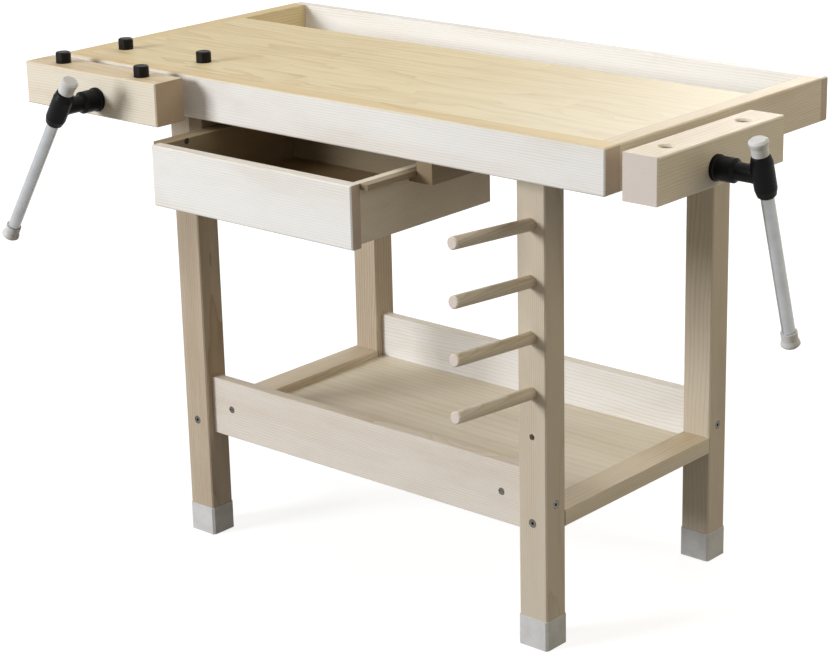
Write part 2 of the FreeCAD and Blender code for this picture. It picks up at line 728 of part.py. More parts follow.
def foot_cap(x, y):
    """A moulded cap that is pushed on to the leg's foot."""
    outside = block(grown(x, foot_wall + joint_gap), grown(y, foot_wall + joint_gap),
                    (0, foot_height))
    outside = eased_along(outside, UP, ease + foot_wall)
    outside = eased_in_plane(outside, "z", foot_height, foot_wall / 2)
    inside = eased_along(block(grown(x, joint_gap), grown(y, joint_gap),
                               (foot_sole, foot_height + 1)), UP)
    return outside.cut(inside)


leg_places = [(x, y) for x in (left_leg_x, right_leg_x) for y in (front_leg_y, back_leg_y)]
export("foot_caps", [foot_cap(x, y) for x, y in leg_places])

rail_y = (front_leg_y[1], back_leg_y[0])
frame_screws = frame_fittings + top_screws
upper_rails = [drilled(block(x, rail_y, (edge_z - upper_rail_height, edge_z)), frame_screws)
               for x in (left_leg_x, right_leg_x)]
export("upper_rails", upper_rails)
for name, x in (("left", left_leg_x), ("right", right_leg_x)):
    rail = eased_along(block(x, rail_y, lower_rail_z), BACK, ease / 2)
    export(f"{name}_lower_rail", drilled(rail, frame_fittings))

board_x = (left_leg_x[1], right_leg_x[0])
board_y = {"front": grown((middle(front_leg_y), middle(front_leg_y)), board_thickness / 2),
           "back": grown((middle(back_leg_y), middle(back_leg_y)), board_thickness / 2)}
for name, y in board_y.items():
    board = eased_along(block(board_x, y, (board_bottom, board_top)), ACROSS, ease / 2)
    export(f"{name}_shelf_board", drilled(board, frame_fittings))

shelf_y = (board_y["front"][1] + joint_gap, board_y["back"][0] - joint_gap)
shelf_x = (board_x[0] + joint_gap, board_x[1] - joint_gap)
shelf_z = (shelf_top - shelf_thickness, shelf_top)
corners = [block(x, y, shelf_z) for x in (grown(left_leg_x, joint_gap),
                                          grown(right_leg_x, joint_gap))
           for y in (grown(front_leg_y, joint_gap), grown(back_leg_y, joint_gap))]
export("shelf_panel", block(shelf_x, shelf_y, shelf_z).cut(corners))
cleat_z = (board_bottom, shelf_z[0])
cleats = [block(shelf_x, (board_y["front"][1], board_y["front"][1] + cleat_width), cleat_z),
          block(shelf_x, (board_y["back"][0] - cleat_width, board_y["back"][0]), cleat_z)]
export("shelf_cleats", cleats)
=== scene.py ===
# %% [markdown]
# # A woodworking bench with two vises
# A small joiner's bench: a pine top with a tool tray, a vise on its front and one on its
# right end, a hanging drawer, pegs for tools and a shelf between the legs. The measured
# model comes first and stays as it is. Every cell after it adds a finish, a light or a
# piece that is too fine for the measured model, such as a screw's thread.

# %% Load the measured model
import math
import bpy
import numpy as np
from mathutils import Matrix, Vector


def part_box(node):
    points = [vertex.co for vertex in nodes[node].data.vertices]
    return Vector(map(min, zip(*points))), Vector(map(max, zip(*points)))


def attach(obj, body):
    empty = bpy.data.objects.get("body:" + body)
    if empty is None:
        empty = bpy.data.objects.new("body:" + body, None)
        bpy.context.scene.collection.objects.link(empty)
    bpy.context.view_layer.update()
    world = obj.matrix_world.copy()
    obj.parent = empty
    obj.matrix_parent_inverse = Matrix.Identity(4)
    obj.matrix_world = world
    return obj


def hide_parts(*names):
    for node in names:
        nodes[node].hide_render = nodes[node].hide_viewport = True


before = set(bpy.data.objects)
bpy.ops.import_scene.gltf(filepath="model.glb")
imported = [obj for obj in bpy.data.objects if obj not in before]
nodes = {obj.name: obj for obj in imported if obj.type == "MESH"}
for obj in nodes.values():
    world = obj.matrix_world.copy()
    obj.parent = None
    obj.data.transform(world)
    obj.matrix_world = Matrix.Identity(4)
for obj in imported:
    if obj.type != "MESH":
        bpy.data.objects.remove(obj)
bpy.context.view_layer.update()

# %% [markdown]
# ## The camera
# The bench is seen from its front right, from a little above the worktop, through a long
# lens. A camera's matrix holds four columns: its right, its up, its back and its place.
# Two angles give the direction of sight, and a third tilts the picture a little.

# %% Set up the camera
eye = Vector((2.3513, -2.7120, 1.6263))
swing, dip, tilt = math.radians(41.52), math.radians(18.27), math.radians(-1.34)
film_width, focal_length = 36.0, 99.634     # millimetres
ahead = Vector((-math.sin(swing) * math.cos(dip),
                math.cos(swing) * math.cos(dip),
                -math.sin(dip)))
level = Vector((math.cos(swing), math.sin(swing), 0.0))
upright = level.cross(ahead)
right = level * math.cos(tilt) + upright * math.sin(tilt)
up = upright * math.cos(tilt) - level * math.sin(tilt)

camera_data = bpy.data.cameras.new("bench_camera")
camera_data.sensor_width = film_width
camera_data.lens = focal_length
camera = bpy.data.objects.new("bench_camera", camera_data)
camera.matrix_world = Matrix((
    (right.x, up.x, -ahead.x, eye.x),
    (right.y, up.y, -ahead.y, eye.y),
    (right.z, up.z, -ahead.z, eye.z),
    (0.0, 0.0, 0.0, 1.0)))
bpy.context.scene.collection.objects.link(camera)
bpy.context.scene.camera = camera
print("camera looks along", [round(v, 3) for v in ahead])

# %% [markdown]
# ## A short way to write nodes
# Most cells below build a node tree. This helper adds a node, sets its options and fills
# its sockets: a socket gets either a plain value or another node's output.

# %% Helpers for node trees
class Tree:
    """A node tree under construction. put() adds any node, and fill() sets one socket. The
    others add a node and return its output: calc() and vector() do sums, blend() mixes two
    colours, and ramp() maps one range of values smoothly onto another."""

    def __init__(self, tree):
        self.tree = tree

    def fill(self, socket, value):
        if isinstance(value, bpy.types.NodeSocket):
            self.tree.links.new(value, socket)
        else:
            socket.default_value = value

    def put(self, kind, sockets=None, **options):
        node = self.tree.nodes.new("ShaderNode" + kind)
        for key, value in options.items():
            setattr(node, key, value)
        for key, value in (sockets or {}).items():
            self.fill(node.inputs[key], value)
        return node

    def calc(self, operation, *values, clamp=False):
        node = self.put("Math", dict(enumerate(values)), operation=operation, use_clamp=clamp)
        return node.outputs[0]

    def vector(self, operation, *values):
        node = self.put("VectorMath", dict(enumerate(values)), operation=operation)
        return node.outputs["Value" if operation in ("DOT_PRODUCT", "LENGTH") else "Vector"]

    def blend(self, factor, first, second, mode="MIX"):
        node = self.put("Mix", data_type="RGBA", blend_type=mode)
        # A Mix node takes colours at its sockets 6 and 7, and gives one at its output 2.
        for key, value in ((0, factor), (6, first), (7, second)):
            self.fill(node.inputs[key], value)
        return node.outputs[2]

    def ramp(self, value, low, high, to_low=0.0, to_high=1.0):
        sockets = {"Value": value, "From Min": low, "From Max": high,
                   "To Min": to_low, "To Max": to_high}
        return self.put("MapRange", sockets, interpolation_type="SMOOTHSTEP").outputs[0]


def new_group(name, inputs, outputs):
    """A shader node group with named sockets: {name: (kind, default)} and {name: kind}."""
    group = bpy.data.node_groups.new(name, "ShaderNodeTree")
    for key, (kind, default) in inputs.items():
        socket = group.interface.new_socket(key, in_out="INPUT", socket_type="NodeSocket" + kind)
        if default is not None:
            socket.default_value = default
    for key, kind in outputs.items():
        group.interface.new_socket(key, in_out="OUTPUT", socket_type="NodeSocket" + kind)
    tree = Tree(group)
    entry = group.nodes.new("NodeGroupInput")
    leave = group.nodes.new("NodeGroupOutput")
    return group, tree, entry.outputs, leave.inputs


def linear(red, green, blue):
    """A display colour from 0 to 255 as linear light with an alpha of 1."""
    share = np.array([red, green, blue]) / 255.0
    low, high = share / 12.92, ((share + 0.055) / 1.055) ** 2.4
    return (*np.where(share <= 0.04045, low, high).tolist(), 1.0)


print("pale pine in linear light", [round(v, 3) for v in linear(222, 203, 163)])

# %% [markdown]
# ## How pine looks
# A board is cut from a log, so one solid pattern explains all its faces: rings round a
# pith that runs along the board, somewhere beside it. A wide face shows the rings as long
# lines and arches, and the end shows them as arcs. Each ring darkens slowly and ends at a
# sharp edge, so the distance from the pith is taken round by round and raised to a power.
# Knots are spots in which that distance swells, and fibres are noise drawn out lengthwise.

# %% The grain of pine
pine, tree, given, out = new_group(
    "pine_grain",
    {"Board": ("Vector", None), "Along": ("Vector", (1.0, 0.0, 0.0)),
     "Pale": ("Color", linear(226, 208, 170)), "Dark": ("Color", linear(186, 143, 92)),
     "Cut": ("Color", linear(168, 132, 92)), "Painted top light": ("Float", 0.0),
     "Ring": ("Float", 0.0040), "Contrast": ("Float", 0.5), "Knots": ("Float", 0.5),
     "Tone": ("Float", 0.5)},
    {"Color": "Color", "Roughness": "Float", "Height": "Float"})

# How often each pattern repeats in a metre: along the board, then twice across it.
knot_scale, warp_scale = (3.1, 9.0, 9.0), (1.7, 9.0, 9.0)
fibre_scale, cloud_scale = (22.0, 640.0, 640.0), (2.6, 26.0, 26.0)
pore_scale, smudge_scale = (75.0, 1500.0, 1500.0), (5.0, 14.0, 14.0)
bend = (0.0, 0.030, 0.030)     # how far slow noise pushes the rings, in metres
swelling = 0.010               # how far a knot pushes them
tone_reach = 0.36              # what a tone of 1 adds to the dark share over a tone of 0
# The first colour is painted light, warming the faces that look up; handling and knots are the
# wood's own.
painted_top_light_colour, handled, knot_brown = linear(236, 215, 168), linear(206, 192, 172), linear(112, 72, 42)

# Knots: the cells of a Voronoi pattern that is drawn out along the board, some left empty.
knot_space = tree.vector("MULTIPLY", given["Board"], knot_scale)
cells = tree.put("TexVoronoi", {"Vector": knot_space, "Scale": 1.0, "Randomness": 0.9},
                 voronoi_dimensions="3D", feature="F1")
chance = tree.put("SeparateColor", {0: cells.outputs["Color"]}).outputs[0]
lucky = tree.calc("LESS_THAN", chance, given["Knots"])
near = tree.calc("MULTIPLY", tree.ramp(cells.outputs["Distance"], 0.0, 0.34, 1.0, 0.0), lucky)
knot = tree.calc("MULTIPLY", tree.ramp(cells.outputs["Distance"], 0.055, 0.10, 1.0, 0.0), lucky)

# Rings: distance from the pith, bent by slow noise and swollen round the knots.
slow = tree.vector("MULTIPLY", given["Board"], warp_scale)
warp = tree.put("TexNoise", {"Vector": slow, "Scale": 1.0, "Detail": 3.0, "Roughness": 0.5})
bent = tree.vector("MULTIPLY_ADD", warp.outputs["Color"], bend, given["Board"])
across = tree.vector("LENGTH", tree.vector("MULTIPLY", bent, (0.0, 1.0, 1.0)))
swell = tree.calc("MULTIPLY_ADD", near, swelling, across)
turn = tree.calc("FRACT", tree.calc("DIVIDE", swell, given["Ring"]))
rings = tree.calc("POWER", turn, 2.6)

# Fibres: fine noise, thirty times longer than it is wide.
fine = tree.vector("MULTIPLY", given["Board"], fibre_scale)
fibres = tree.put("TexNoise", {"Vector": fine, "Scale": 1.0, "Detail": 2.0, "Roughness": 0.6})
broad = tree.vector("MULTIPLY", given["Board"], cloud_scale)
clouds = tree.put("TexNoise", {"Vector": broad, "Scale": 1.0, "Detail": 4.0, "Roughness": 0.55})

# End grain: where the surface faces along the board, it drinks more oil and looks darker.
# Faces that look up are warmer: painted light, for the warmer light that falls on tops.
facing = tree.put("TexCoord").outputs["Normal"]
lengthwise = tree.calc("ABSOLUTE", tree.vector("DOT_PRODUCT", facing, given["Along"]))
end = tree.ramp(lengthwise, 0.75, 0.95)
lying = tree.ramp(tree.vector("DOT_PRODUCT", facing, (0.0, 0.0, 1.0)), 0.45, 0.90)

# Pores are short dark dashes, and handling leaves broad faint smudges.
dashes = tree.vector("MULTIPLY", given["Board"], pore_scale)
pores = tree.put("TexNoise", {"Vector": dashes, "Scale": 1.0, "Detail": 1.0})
patches = tree.vector("MULTIPLY", given["Board"], smudge_scale)
smudges = tree.put("TexNoise", {"Vector": patches, "Scale": 1.0, "Detail": 5.0, "Roughness": 0.6})

# All of it adds up to one share of the dark colour, between 0 and 1.
amount = tree.calc("MULTIPLY", rings, given["Contrast"])
amount = tree.calc("ADD", amount, tree.ramp(clouds.outputs["Fac"], 0.30, 0.75, -0.10, 0.22))
amount = tree.calc("ADD", amount, tree.ramp(fibres.outputs["Fac"], 0.30, 0.70, -0.05, 0.07))
toned = tree.calc("MULTIPLY_ADD", given["Tone"], tone_reach, -tone_reach / 2)
amount = tree.calc("ADD", amount, toned)
dots = tree.ramp(pores.outputs["Fac"], 0.60, 0.70, 0.0, 0.16)
amount = tree.calc("ADD", amount, dots, clamp=True)
wood = tree.blend(amount, given["Pale"], given["Dark"])
wood = tree.blend(tree.calc("MULTIPLY", end, 0.62), wood, given["Cut"])
wood = tree.blend(tree.calc("MULTIPLY", lying, given["Painted top light"]), wood, painted_top_light_colour, "MULTIPLY")
touched = tree.ramp(smudges.outputs["Fac"], 0.50, 0.75, 0.0, 0.16)
wood = tree.blend(touched, wood, handled, "MULTIPLY")
tree.fill(out["Color"], tree.blend(knot, wood, knot_brown))

# Fibres and end grain are rough, and late wood stands a little proud of early wood.
sheen = tree.ramp(fibres.outputs["Fac"], 0.3, 0.7, 0.46, 0.58)
tree.fill(out["Roughness"], tree.calc("ADD", sheen, tree.calc("MULTIPLY", end, 0.10)))
relief = tree.calc("MULTIPLY", fibres.outputs["Fac"], 0.8)
tree.fill(out["Height"], tree.calc("ADD", tree.calc("MULTIPLY", rings, 0.6), relief))
print("pine_grain has", len(pine.nodes), "nodes")

# %% [markdown]
# ## Glued staves
# A worktop isn't one plank. It is glued from long staves, each from another part of the
# tree. Rounding down the place across the panel numbers the stave, and a random number for
# each stave moves it to another part of the log and makes it paler or darker. The glue
# line between two staves is a hair's breadth of shadow.

# %% The staves of a glued panel
staves, tree, given, out = new_group(
    "glued_staves",
    {"Board": ("Vector", None), "Width": ("Float", 0.060), "Length": ("Float", 0.9)},
    {"Board": "Vector", "Tone": "Float", "Seam": "Float"})
log_reach = (3.0, 0.11, 0.05)     # how far apart two staves may come from in the log, in metres
long_seam, end_seam = (0.488, 0.497), (0.4992, 0.4998)
place = tree.put("SeparateXYZ", {0: given["Board"]}).outputs
row = tree.calc("DIVIDE", place["Y"], given["Width"])
shift = tree.put("TexWhiteNoise", {"W": tree.calc("FLOOR", row)}, noise_dimensions="1D")
run = tree.calc("ADD", tree.calc("DIVIDE", place["X"], given["Length"]), shift.outputs["Value"])
number = tree.put("CombineXYZ", {0: tree.calc("FLOOR", run), 1: tree.calc("FLOOR", row), 2: 3.0})
chance = tree.put("TexWhiteNoise", {"Vector": number.outputs[0]}, noise_dimensions="3D")
moved = tree.vector("MULTIPLY_ADD", chance.outputs["Color"], log_reach, given["Board"])
side = tree.calc("ABSOLUTE", tree.calc("SUBTRACT", tree.calc("FRACT", row), 0.5))
finish = tree.calc("ABSOLUTE", tree.calc("SUBTRACT", tree.calc("FRACT", run), 0.5))
# Both are 0.5 at a glue line, so the last hundredths of each draw it.
seam = tree.calc("MAXIMUM", tree.ramp(side, *long_seam), tree.ramp(finish, *end_seam))
tree.fill(out["Board"], moved)
tree.fill(out["Tone"], chance.outputs["Value"])
tree.fill(out["Seam"], seam)
print("glued_staves has", len(staves.nodes), "nodes")

# %% [markdown]
# ## One finish for each board
# Every board gets a material of its own, because no two boards share a piece of the log.
# A Mapping node turns the board so that its grain runs along X, and moves the pith to a
# place beside it. Turning and moving are all that sets one board's pattern apart.

# %% Make a board's material
turns = {"X": (0.0, 0.0, 0.0), "Y": (0.0, 0.0, -math.pi / 2), "Z": (0.0, math.pi / 2, 0.0)}
along = {"X": (1.0, 0.0, 0.0), "Y": (0.0, 1.0, 0.0), "Z": (0.0, 0.0, 1.0)}
chances = np.random.default_rng(11)


def start_material(name):
    """An empty material with a Principled shader: returns it, its tree and the shader."""
    material = bpy.data.materials.new(name)
    material.use_nodes = True
    material.node_tree.nodes.clear()
    tree = Tree(material.node_tree)
    shader = tree.put("BsdfPrincipled")
    tree.put("OutputMaterial", {"Surface": shader.outputs[0]})
    return material, tree, shader


brown_cut, glue_brown = linear(158, 124, 84), linear(120, 92, 60)
# A painted sheen: towards the bench's right end the worktop blends towards this pale colour, as
# where light glances off it.
painted_sheen_colour = linear(240, 236, 222)
painted_sheen_from, painted_sheen_to = -0.15, 0.55     # places along the bench, in metres


def board(name, grain, pale, dark, ring=0.0040, contrast=0.5, knots=0.3, tone=0.5, painted_top_light=0.0,
          cut=brown_cut, glued=None, painted_sheen=0.0):
    """The finish of one board, or of a panel glued from staves of the given (width, length).
    A high tone is dark, and the top light is painted light that warms what faces up. Cut is
    the end grain's colour, and the sheen is the share of pale colour at the bench's right end,
    painted as a sheen."""
    material, tree, shader = start_material(name)
    pith = (chances.uniform(-4, 4), chances.uniform(0.03, 0.09), chances.uniform(0.05, 0.12))
    where = tree.put("Mapping", {"Vector": tree.put("TexCoord").outputs["Object"],
                                 "Rotation": turns[grain], "Location": pith})
    line, tone_source = where.outputs[0], tone
    if glued:
        panel = tree.put("Group", node_tree=staves)
        values = {"Board": line, "Width": glued[0], "Length": glued[1]}
        for key, value in values.items():
            tree.fill(panel.inputs[key], value)
        line, tone_source = panel.outputs["Board"], panel.outputs["Tone"]
    grained = tree.put("Group", node_tree=pine)
    values = {"Board": line, "Along": along[grain], "Pale": pale, "Dark": dark, "Ring": ring,
              "Contrast": contrast, "Knots": knots, "Tone": tone_source, "Painted top light": painted_top_light, "Cut": cut}
    for key, value in values.items():
        tree.fill(grained.inputs[key], value)
    colour, height = grained.outputs["Color"], grained.outputs["Height"]
    if glued:
        seam = tree.calc("MULTIPLY", panel.outputs["Seam"], 0.35)
        colour = tree.blend(seam, colour, glue_brown)
        height = tree.calc("SUBTRACT", height, panel.outputs["Seam"])
    # Painted sheen: paler towards the bench's right end.
    if painted_sheen:
        across = tree.put("SeparateXYZ", {0: tree.put("TexCoord").outputs["Object"]}).outputs["X"]
        share = tree.ramp(across, painted_sheen_from, painted_sheen_to, 0.0, painted_sheen)
        colour = tree.blend(share, colour, painted_sheen_colour)
    bump = tree.put("Bump", {"Strength": 0.25, "Distance": 0.0003, "Height": height})
    tree.fill(shader.inputs["Base Color"], colour)
    tree.fill(shader.inputs["Roughness"], grained.outputs["Roughness"])
    tree.fill(shader.inputs["Normal"], bump.outputs[0])
    return material


def dress(names, material):
    """Gives a material to nodes of the measured model, named in one string."""
    for name in names.split():
        materials = nodes[name].data.materials
        materials.clear()
        materials.append(material)


print("grain directions", sorted(turns))

# %% [markdown]
# ## Dressing the timber
# The worktop is the yellowest, with a painted sheen that makes it paler towards its right
# end. The apron, the rails round the tray, the drawer's front and the back shelf board get a
# pale copy of the pine, painted as the bright light on faces that look to the front. The legs
# are a greyer dun, and the hangers and the drawer's hidden sides are darker, as painted shade
# under the top. Each row gives the grain's direction, the pale and dark colours, the tone and
# the painted top light on faces that look up.

# %% Give every board its grain
honey = (linear(220, 203, 162), linear(186, 153, 104))
# A pale, grey copy of the pine, painted as the bright light on boards that face the front.
pale_painted_light = (linear(232, 229, 227), linear(206, 190, 169))
cream = (linear(222, 211, 194), linear(187, 161, 127))
dun = (linear(200, 187, 168), linear(160, 136, 110))
# Another pale copy, painted as the front light, for the front shelf board.
grey_painted_light = (linear(222, 213, 204), linear(188, 166, 142))
# Painted shade: a darker copy of the pine for the hangers and the drawer's hidden parts, which
# lie in the top's shade.
painted_shade = (linear(150, 133, 106), linear(118, 100, 74))
painted_lit_cut, painted_shade_cut = linear(208, 194, 194), linear(118, 96, 68)
timber = {
    "front_apron": ("X", pale_painted_light, 0.35, 1.0),
    "back_rail": ("X", pale_painted_light, 0.30, 0.0),
    "tray_front_rail": ("X", pale_painted_light, 0.5, 0.3),
    "left_end_cap": ("Y", honey, 0.5, 0.3),
    "right_end_cap": ("Y", cream, 0.40, 0.3),
    "left_bearer": ("Y", cream, 0.5, 0.0),
    "right_bearer": ("Y", cream, 0.6, 0.0),
    "tray_bearers": ("Y", cream, 0.5, 0.0),
    # The left legs' tone lies past the random range, partly darker wood and partly painted shade
    # under the top and the front vise; the right legs are at their palest.
    "front_left_leg": ("Z", dun, 1.35, 0.0),
    "front_right_leg": ("Z", dun, 0.05, 0.0),
    "back_left_leg": ("Z", dun, 1.3, 0.0),
    "back_right_leg": ("Z", dun, 0.0, 0.0),
    "upper_rails": ("Y", dun, 0.5, 0.0),
    "left_lower_rail": ("Y", cream, 0.5, 0.3),
    "right_lower_rail": ("Y", cream, 0.4, 0.4),
    "front_shelf_board": ("X", grey_painted_light, 0.35, 0.3),
    "back_shelf_board": ("X", pale_painted_light, 0.3, 0.3),
    "shelf_cleats": ("X", cream, 0.5, 0.0),
    "tool_pegs": ("Y", cream, 0.6, 0.0),
    "drawer_front": ("X", pale_painted_light, 0.2, 0.2),
    "drawer_left_side": ("Y", painted_shade, 0.5, 0.0),
    "drawer_right_side": ("Y", cream, 0.0, 0.0),
    "drawer_back": ("X", painted_shade, 0.5, 0.0),
    "drawer_strips": ("Y", painted_shade, 0.6, 0.0),
    "left_runner": ("Y", painted_shade, 0.8, 0.0),
    "right_runner": ("Y", painted_shade, 0.8, 0.0),
    "runner_ledges": ("Y", painted_shade, 0.6, 0.0),
    "front_jaw": ("X", cream, 0.2, 0.6),
    "end_jaw": ("Y", cream, 0.25, 0.15),
}
# End grain that faces the front, on the pegs and the end jaw, is paler as painted light; the
# hangers' end grain is darker as painted shade.
cuts = {"tool_pegs": painted_lit_cut, "end_jaw": painted_lit_cut, "drawer_strips": painted_shade_cut,
        "left_runner": painted_shade_cut, "right_runner": painted_shade_cut, "runner_ledges": painted_shade_cut}
for name, (grain, colours, tone, painted_top_light) in timber.items():
    dress(name, board("pine_" + name, grain, *colours, tone=tone, painted_top_light=painted_top_light,
                      cut=cuts.get(name, brown_cut)))
dress("worktop_panel", board("pine_worktop", "X", *honey, contrast=0.42, knots=0.12,
                             glued=(0.062, 0.95), painted_sheen=0.45))
plies = {"tray_floor": (linear(232, 229, 219), linear(210, 200, 180)),
         "shelf_panel": (linear(236, 226, 206), linear(212, 191, 158)),
         # The drawer's bottom is darker than the other plies, as painted shade inside the drawer.
         "drawer_bottom": (linear(150, 126, 92), linear(118, 94, 62))}
for name, colours in plies.items():
    dress(name, board("ply_" + name, "X", *colours, ring=0.011, contrast=0.35, knots=0.0))
print("boards dressed", len(timber) + 1 + len(plies))

# %% [markdown]
# ## Metal and plastic
# The screws, rods and bars are bright zinc-plated steel. The hubs and the nut plates are
# iron castings under black enamel, which keeps the pebbled skin of the sand mould. The
# dogs are black nylon, and the feet and the bars' caps are pale grey plastic.

# %% The skin of cast and moulded pieces
skin, tree, given, out = new_group(
    "surface_skin",
    {"Size": ("Float", 400.0), "Low": ("Float", 0.3), "High": ("Float", 0.5)},
    {"Roughness": "Float", "Height": "Float", "Mask": "Float"})
where = tree.put("TexCoord").outputs["Object"]
pebbles = tree.put("TexNoise", {"Vector": where, "Scale": given["Size"], "Detail": 4.0})
smears = tree.put("TexNoise", {"Vector": where, "Scale": 38.0, "Detail": 5.0, "Roughness": 0.6})
mask = tree.ramp(smears.outputs["Fac"], 0.35, 0.70)
spread = tree.calc("SUBTRACT", given["High"], given["Low"])
tree.fill(out["Roughness"], tree.calc("MULTIPLY_ADD", mask, spread, given["Low"]))
tree.fill(out["Height"], pebbles.outputs["Fac"])
tree.fill(out["Mask"], mask)
print("surface_skin has", len(skin.nodes), "nodes")


# %% Make the metal and plastic finishes
def hard_finish(name, colour, second, metallic, low, high, size, depth, shine=0.5):
    """A finish whose colour drifts between two shades and whose roughness drifts between low
    and high. Its pebbles repeat size times in a metre and stand depth metres high."""
    material, tree, shader = start_material(name)
    skinned = tree.put("Group", node_tree=skin)
    for key, value in {"Size": size, "Low": low, "High": high}.items():
        skinned.inputs[key].default_value = value
    tree.fill(shader.inputs["Base Color"], tree.blend(skinned.outputs["Mask"], colour, second))
    tree.fill(shader.inputs["Roughness"], skinned.outputs["Roughness"])
    bump = tree.put("Bump", {"Strength": 0.4, "Distance": depth,
                             "Height": skinned.outputs["Height"]})
    tree.fill(shader.inputs["Normal"], bump.outputs[0])
    shader.inputs["Metallic"].default_value = metallic
    shader.inputs["Specular IOR Level"].default_value = shine
    return material


steel = hard_finish("bright_steel", linear(186, 187, 190), linear(176, 177, 181),
                    metallic=0.45, low=0.20, high=0.27, size=900.0, depth=0.00001)
zinc = hard_finish("dull_zinc", linear(112, 110, 106), linear(84, 81, 76),
                   metallic=1.0, low=0.35, high=0.50, size=700.0, depth=0.00005)
iron = hard_finish("black_enamel", linear(3, 3, 4), linear(7, 7, 8),
                   metallic=0.0, low=0.36, high=0.52, size=520.0, depth=0.00020, shine=0.11)
nylon = hard_finish("black_nylon", linear(12, 7, 4), linear(20, 14, 9),
                    metallic=0.0, low=0.42, high=0.56, size=1100.0, depth=0.00008, shine=0.14)
grey = hard_finish("grey_plastic", linear(208, 206, 206), linear(196, 194, 193),
                   metallic=0.0, low=0.42, high=0.58, size=1100.0, depth=0.00008)
dress("front_vise_screw end_vise_screw front_guide_rods end_guide_rods "
      "front_vise_bar end_vise_bar", steel)
dress("front_jaw_plate end_jaw_plate front_nut_plate end_nut_plate "
      "front_vise_hub end_vise_hub", iron)
dress("frame_bolts barrel_nuts front_jaw_plate_screws end_jaw_plate_screws "
      "nut_plate_screws drawer_screws underside_screws", zinc)
dress("jaw_dog_left jaw_dog_right top_dog_left top_dog_right", nylon)
dress("front_bar_caps end_bar_caps foot_caps", grey)
print("finishes", len(bpy.data.materials))

# %% [markdown]
# ## Turned metal
# The vises' screws, the legs' bolts and the bolts' nuts are turned pieces. A turned surface
# is a row of rings along an axis. Here a ring's radius may also change with the angle, and
# that is all it takes to draw a thread, a hexagonal socket or a slot. Modifiers such as
# Screw could do it too, but a formula keeps the pitch exact, so the thread moves along
# itself when it turns.

# %% A turned surface
def turned(distance, radius, start, axis, side):
    """Vertices, quads and triangles of one closed turned surface. Vertex (i, j) is
    start + distance[i] axis + radius[i, j] (side cos a[j] + third sin a[j]), where third is
    the cross product of axis and side and a[j] = 2 pi j / count. Fans close both ends."""
    start, axis, side = (np.asarray(vector, float) for vector in (start, axis, side))
    rows, count = radius.shape
    angle = np.arange(count) * 2 * np.pi / count
    spoke = np.cos(angle)[:, None] * side + np.sin(angle)[:, None] * np.cross(axis, side)
    rings = start + distance[:, None, None] * axis + radius[:, :, None] * spoke
    tips = start + distance[[0, -1], None] * axis
    i, j = np.meshgrid(np.arange(rows - 1) * count, np.arange(count), indexing="ij")
    beside = (j + 1) % count
    quads = np.stack([i + j, i + beside, i + count + beside, i + count + j], -1).reshape(-1, 4)
    j, beside, last = j[0], beside[0], (rows - 1) * count
    fans = np.concatenate([np.stack([j * 0 + rows * count, beside, j], -1),
                           np.stack([j * 0 + rows * count + 1, last + j, last + beside], -1)])
    return np.concatenate([rings.reshape(-1, 3), tips]), quads, fans


def make_piece(name, shapes, material, body, stands_for):
    """One object from turned surfaces. It rides on a body in place of a CAD node."""
    counts = np.cumsum([0] + [len(points) for points, quads, fans in shapes])
    faces = []
    for count, (points, quads, fans) in zip(counts, shapes):
        faces += (quads + count).tolist() + (fans + count).tolist()
    mesh = bpy.data.meshes.new(name)
    mesh.from_pydata(np.concatenate([shape[0] for shape in shapes]).tolist(), [], faces)
    mesh.shade_smooth()
    mesh.set_sharp_from_angle(angle=math.radians(32))
    mesh.materials.append(material)
    piece = bpy.data.objects.new(name, mesh)
    bpy.context.scene.collection.objects.link(piece)
    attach(piece, body)
    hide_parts(stands_for)
    print(name, "faces", len(mesh.polygons))


print("turned surfaces ready")

# %% [markdown]
# ## The vises' screws
# Each screw is 20 mm thick with a 5 mm right-hand thread, sloping flanks and flat crests, as
# vise screws have. Behind the jaw a collar is trapped by a plate, so the screw pulls the
# jaw as well as pushing it. Between the hub and the collar the screw is plain. A thread's
# ridge climbs one pitch a turn, so its height depends on distance / pitch - angle / turn.

# %% Cut the threads
pitch, crest, root = 0.005, 0.0100, 0.0083
crest_share, foot_share = 0.16, 0.36          # half widths of a ridge's top and foot, in pitches
collar_at, collar_end, collar_r = 0.09122, 0.09662, 0.015
neck_end, run_in_length = 0.103, 0.004        # where the thread starts, and reaches full depth
hub_chamfer, collar_chamfer, tip_chamfer = 0.001, 0.0006, 0.0005
rings_a_turn, screw_points = 12, 48


def vise_screw(length):
    """Distances and radii of one screw from its outer end, in metres. With p the share of a
    pitch climbed, p = (distance / pitch - angle / 2 pi) mod 1, the ridge is full height where
    |p - 1/2| is under crest_share and falls in a straight flank to nothing at foot_share."""
    plain = np.array([
        (0.0, crest - hub_chamfer), (hub_chamfer, crest), (collar_at, crest),
        (collar_at, collar_r - collar_chamfer), (collar_at + collar_chamfer, collar_r),
        (collar_end - collar_chamfer, collar_r), (collar_end, collar_r - collar_chamfer),
        (collar_end, crest)])
    reach = np.arange(neck_end, length, pitch / rings_a_turn)
    distance = np.concatenate([plain[:, 0], reach, [length]])
    angle = np.arange(screw_points) * 2 * np.pi / screw_points
    phase = (distance[:, None] / pitch - angle / (2 * np.pi)) % 1.0
    flank = (foot_share - np.abs(phase - 0.5)) / (foot_share - crest_share)
    ridge = np.clip(flank, 0.0, 1.0)
    run_in = np.clip((distance - neck_end) / run_in_length, 0.0, 1.0)[:, None]
    radius = crest - (crest - root) * run_in * (1.0 - ridge)
    radius = np.minimum(radius, root - tip_chamfer + (length - distance)[:, None])
    radius[:len(plain)] = plain[:, 1:]
    return distance, radius


